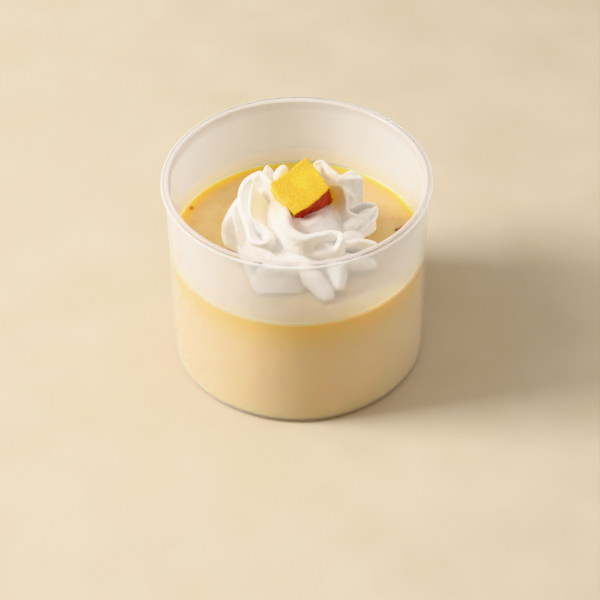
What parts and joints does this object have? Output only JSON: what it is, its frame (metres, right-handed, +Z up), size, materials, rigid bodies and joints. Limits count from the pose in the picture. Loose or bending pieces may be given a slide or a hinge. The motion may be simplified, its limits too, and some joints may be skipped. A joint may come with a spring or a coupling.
{
  "type": "sweet potato pudding",
  "caption": "Pudding in a clear tapered plastic cup with a turned-out rim, topped with a piped swirl of whipped cream and a dice of sweet potato.",
  "frame": {"origin": "middle of the cup's base, on the surface that it stands on", "axes": "+Z up along the cup's axis, -Y towards the front that the dice leans to, +X to the right"},
  "size_m": [0.076, 0.076, 0.0663],
  "materials": {
    "cup_plastic": "thin frosted polypropylene, slightly hazy, soft gloss",
    "pudding": "smooth moist custard with a soft shine",
    "whipped_cream": "soft matt piped cream, light passes into it",
    "sweet_potato": "moist yellow flesh with fine fibres and a dark red skin on one side"
  },
  "bodies": {
    "root": {"cup": "cup_plastic", "pudding": "pudding", "cream": "whipped_cream", "potato_dice": "sweet_potato"}
  },
  "joints": []
}
